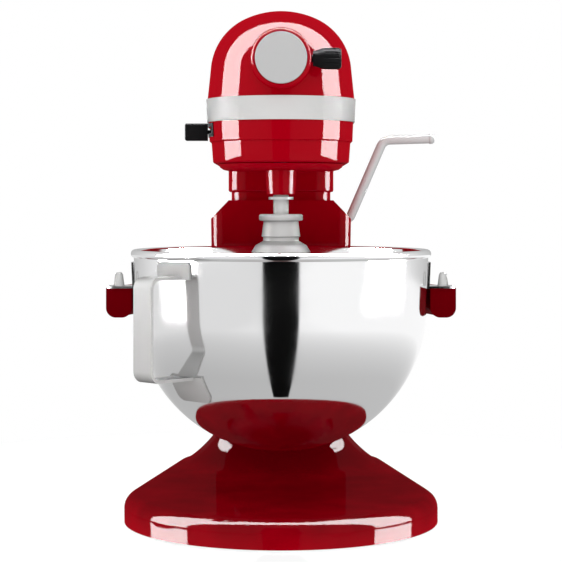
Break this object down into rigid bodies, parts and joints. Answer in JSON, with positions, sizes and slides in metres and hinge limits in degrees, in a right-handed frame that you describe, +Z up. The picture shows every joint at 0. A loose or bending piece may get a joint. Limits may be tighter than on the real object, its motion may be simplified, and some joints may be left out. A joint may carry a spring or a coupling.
{
  "type": "stand mixer",
  "caption": "Bowl-lift stand mixer: motor head on a column, planetary whip, steel bowl with handle on a lifting yoke, attachment hub in front.",
  "frame": {"origin": "on the floor under the centre of the mixer", "axes": "+Z up, front of the mixer towards -Y, speed lever on the -X side, lift lever on the +X side"},
  "size_m": [0.287, 0.3692, 0.4195],
  "materials": {
    "red_paint": "gloss",
    "polished_steel": "polished",
    "steel": "satin",
    "chrome_rod": "polished",
    "satin_aluminium": "satin",
    "cast_aluminium": "cast",
    "bronze": "satin",
    "copper": "satin",
    "black_plastic": "satin",
    "board_green": "satin",
    "black_rubber": "matte"
  },
  "bodies": {
    "stand": {"base_casting": "red_paint", "bottom_plate": "steel", "rubber_feet": "black_rubber", "foot_screws": "steel", "column_casting": "red_paint", "guide_rods": "chrome_rod", "guide_brackets": "cast_aluminium", "lift_bush": "bronze", "cord_grommet": "black_rubber", "head_bolts": "steel", "gear_case": "red_paint", "ring_gear": "steel", "centre_bush": "bronze", "upper_housing": "red_paint", "rear_cover": "red_paint", "cover_screw": "chrome_rod", "trim_band": "satin_aluminium", "hub_liner": "steel", "hub_bearing": "bronze", "motor_stator": "steel", "motor_bridges": "cast_aluminium", "motor_bolts": "steel", "brush_holders": "bronze", "control_board": "board_green", "speed_plate": "black_plastic"},
    "planetary": {"planetary_cover": "red_paint", "planet_bush": "bronze", "centre_shaft": "steel", "face_gear": "steel"},
    "beater_drive": {"beater_shaft": "polished_steel", "planet_pinion": "steel", "shaft_washer": "polished_steel", "cross_pin": "steel"},
    "whip": {"whip_hub": "satin_aluminium", "whip_wires": "polished_steel"},
    "motor": {"motor_shaft": "steel", "armature_core": "steel", "commutator": "copper", "motor_fan": "black_plastic", "motor_pinion": "steel"},
    "hub_drive": {"hub_drive_shaft": "steel", "hub_pinion": "steel"},
    "cap": {"hub_cap": "satin_aluminium"},
    "thumb_screw": {"attachment_knob": "black_plastic", "knob_screw": "black_plastic"},
    "speed_lever": {"speed_arm": "steel", "speed_knob": "black_plastic"},
    "lift_lever": {"lift_rod": "chrome_rod", "lift_grip": "chrome_rod", "lift_crank": "steel"},
    "yoke": {"bowl_yoke": "red_paint", "slide_bushes": "bronze", "locating_pins": "polished_steel", "lift_tail": "steel", "tail_screws": "steel", "latch_spring": "steel"},
    "bowl": {"bowl_shell": "polished_steel", "bowl_handle": "polished_steel", "bowl_ears": "polished_steel", "rear_stud": "polished_steel"}
  },
  "joints": [
    {"name": "planetary_spin", "type": "hinge", "parent": "stand", "child": "planetary", "pos_m": [0, -0.05575, 0.3], "axis": [0, 0, 1], "continuous": true},
    {"name": "beater_spin", "type": "hinge", "parent": "planetary", "child": "beater_drive", "pos_m": [0, -0.08325, 0.28], "axis": [0, 0, 1], "continuous": true},
    {"name": "whip_twist", "type": "hinge", "parent": "beater_drive", "child": "whip", "pos_m": [0, -0.08325, 0.236], "axis": [0, 0, 1], "range_deg": [-35, 0]},
    {"name": "motor_spin", "type": "hinge", "parent": "stand", "child": "motor", "pos_m": [0, 0.06425, 0.3694], "axis": [0, 1, 0], "continuous": true},
    {"name": "hub_spin", "type": "hinge", "parent": "stand", "child": "hub_drive", "pos_m": [0, -0.09575, 0.3754], "axis": [0, 1, 0], "continuous": true},
    {"name": "cap_pull", "type": "slide", "parent": "stand", "child": "cap", "axis": [0, -1, 0], "range_m": [0, 0.06]},
    {"name": "thumb_screw_turn", "type": "hinge", "parent": "stand", "child": "thumb_screw", "pos_m": [0.04, -0.11475, 0.3754], "axis": [1, 0, 0], "range_deg": [0, 540]},
    {"name": "speed_slide", "type": "slide", "parent": "stand", "child": "speed_lever", "axis": [0, -1, 0], "range_m": [0, 0.045]},
    {"name": "yoke_lift", "type": "slide", "parent": "stand", "child": "yoke", "axis": [0, 0, -1], "range_m": [0, 0.03]},
    {"name": "lever_swing", "type": "hinge", "parent": "stand", "child": "lift_lever", "pos_m": [0.06, 0.12025, 0.247], "axis": [-1, 0, 0], "range_deg": [0, 100]},
    {"name": "bowl_lift_off", "type": "slide", "parent": "yoke", "child": "bowl", "axis": [0, 0, 1], "range_m": [0, 0.014]}
  ],
  "couplings": [
    {"joint": "beater_spin", "follows": "planetary_spin", "ratio": -3.75},
    {"joint": "motor_spin", "follows": "planetary_spin", "ratio": 3.3333},
    {"joint": "hub_spin", "follows": "planetary_spin", "ratio": -2},
    {"joint": "lever_swing", "follows": "yoke_lift", "rad_per_m": 58.177}
  ]
}
